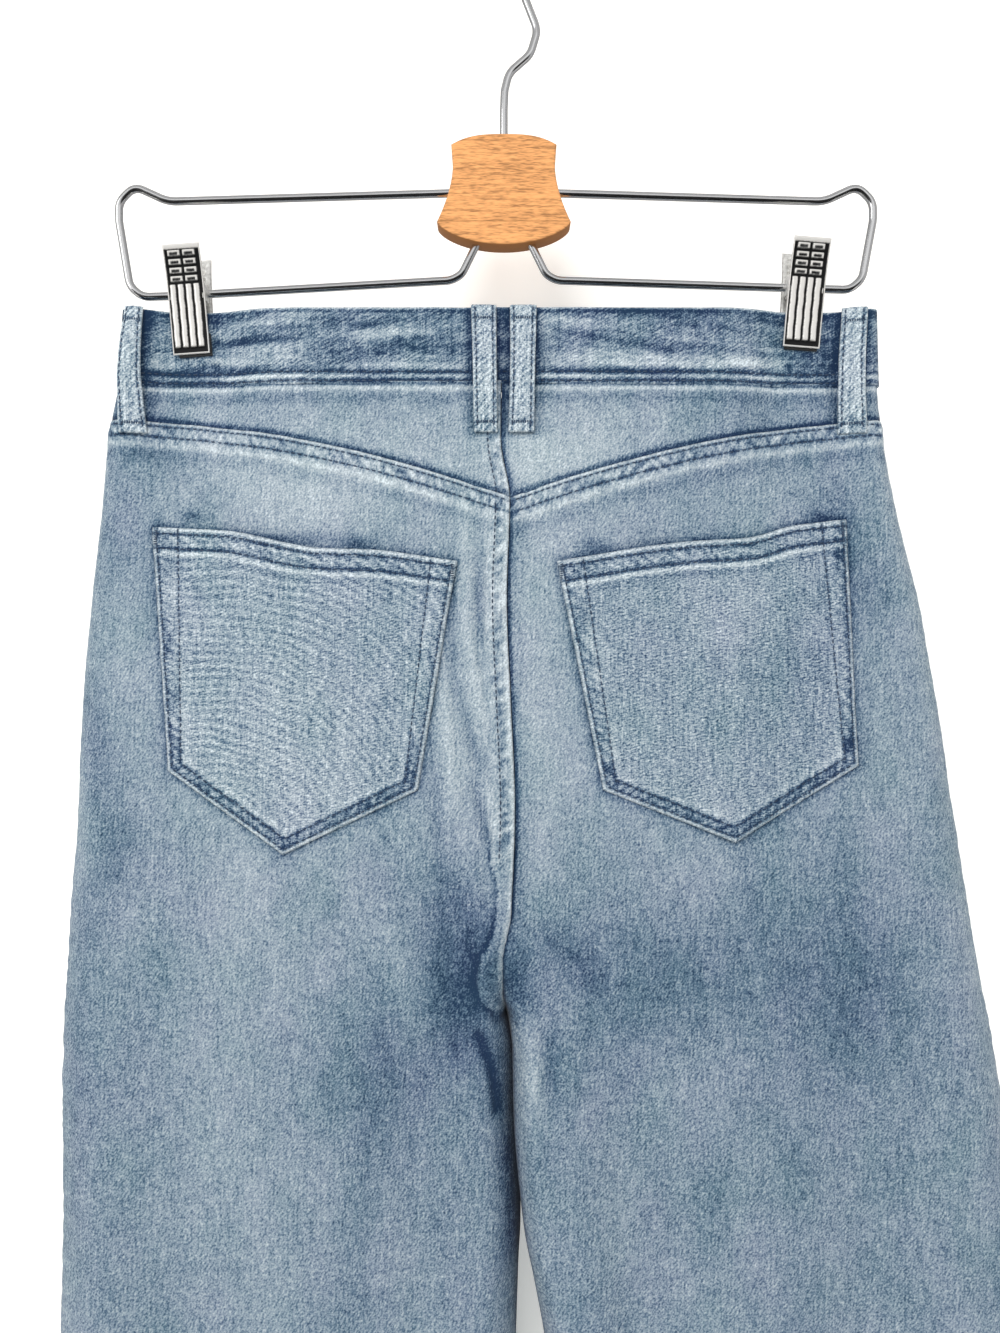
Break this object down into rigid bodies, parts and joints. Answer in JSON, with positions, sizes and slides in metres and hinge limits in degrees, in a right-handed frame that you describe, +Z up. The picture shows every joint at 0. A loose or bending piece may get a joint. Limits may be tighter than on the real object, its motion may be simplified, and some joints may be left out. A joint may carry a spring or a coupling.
{
  "type": "wide leg cropped jeans on a clip hanger",
  "caption": "Light-wash wide leg cropped jeans hung flat by the waistband from a wire clip hanger with a wooden centre block.",
  "frame": {"origin": "the inner top of the hanger's hook, where a rod or a wall hook carries it", "axes": "+Z up, -Y the way the back of the jeans faces, +X to the right of someone who looks at the back of the jeans"},
  "size_m": [0.547, 0.0876, 1.196],
  "materials": {
    "washed_denim": "light-wash stretch denim twill, faded on the seat and rubbed pale on its seams",
    "waistband_denim": "the same denim, darker, with drag creases",
    "loop_denim": "folded denim strip, rubbed pale, with coarse twill",
    "zip_tape": "woven zip tape",
    "button_metal": "dull nickel",
    "chrome": "bright chromed steel",
    "beech": "lacquered wood with fine level grain",
    "black_rubber": "black jaw pads"
  },
  "bodies": {
    "root": {"back_panel_left": "washed_denim", "back_panel_right": "washed_denim", "front_panel_left": "washed_denim", "front_panel_right": "washed_denim", "back_yoke_left": "washed_denim", "back_yoke_right": "washed_denim", "back_pocket_left": "washed_denim", "back_pocket_right": "washed_denim", "pocket_facing_left": "washed_denim", "pocket_facing_right": "washed_denim", "waistband_back": "waistband_denim", "waistband_front_left": "waistband_denim", "waistband_front_right": "waistband_denim", "belt_loop_back_left": "loop_denim", "belt_loop_back_right": "loop_denim", "belt_loop_side_left": "loop_denim", "belt_loop_side_right": "loop_denim", "belt_loop_front_left": "loop_denim", "belt_loop_front_right": "loop_denim", "zip": "zip_tape", "zip_slider": "button_metal", "button": "button_metal", "hanger_hook": "chrome", "hanger_block": "beech", "hanger_wire_left": "chrome", "hanger_wire_right": "chrome", "clip_left_front": "chrome", "clip_left_rear": "chrome", "clip_left_spring": "chrome", "clip_left_pad_front": "black_rubber", "clip_left_pad_rear": "black_rubber", "clip_right_front": "chrome", "clip_right_rear": "chrome", "clip_right_spring": "chrome", "clip_right_pad_front": "black_rubber", "clip_right_pad_rear": "black_rubber"}
  },
  "joints": []
}
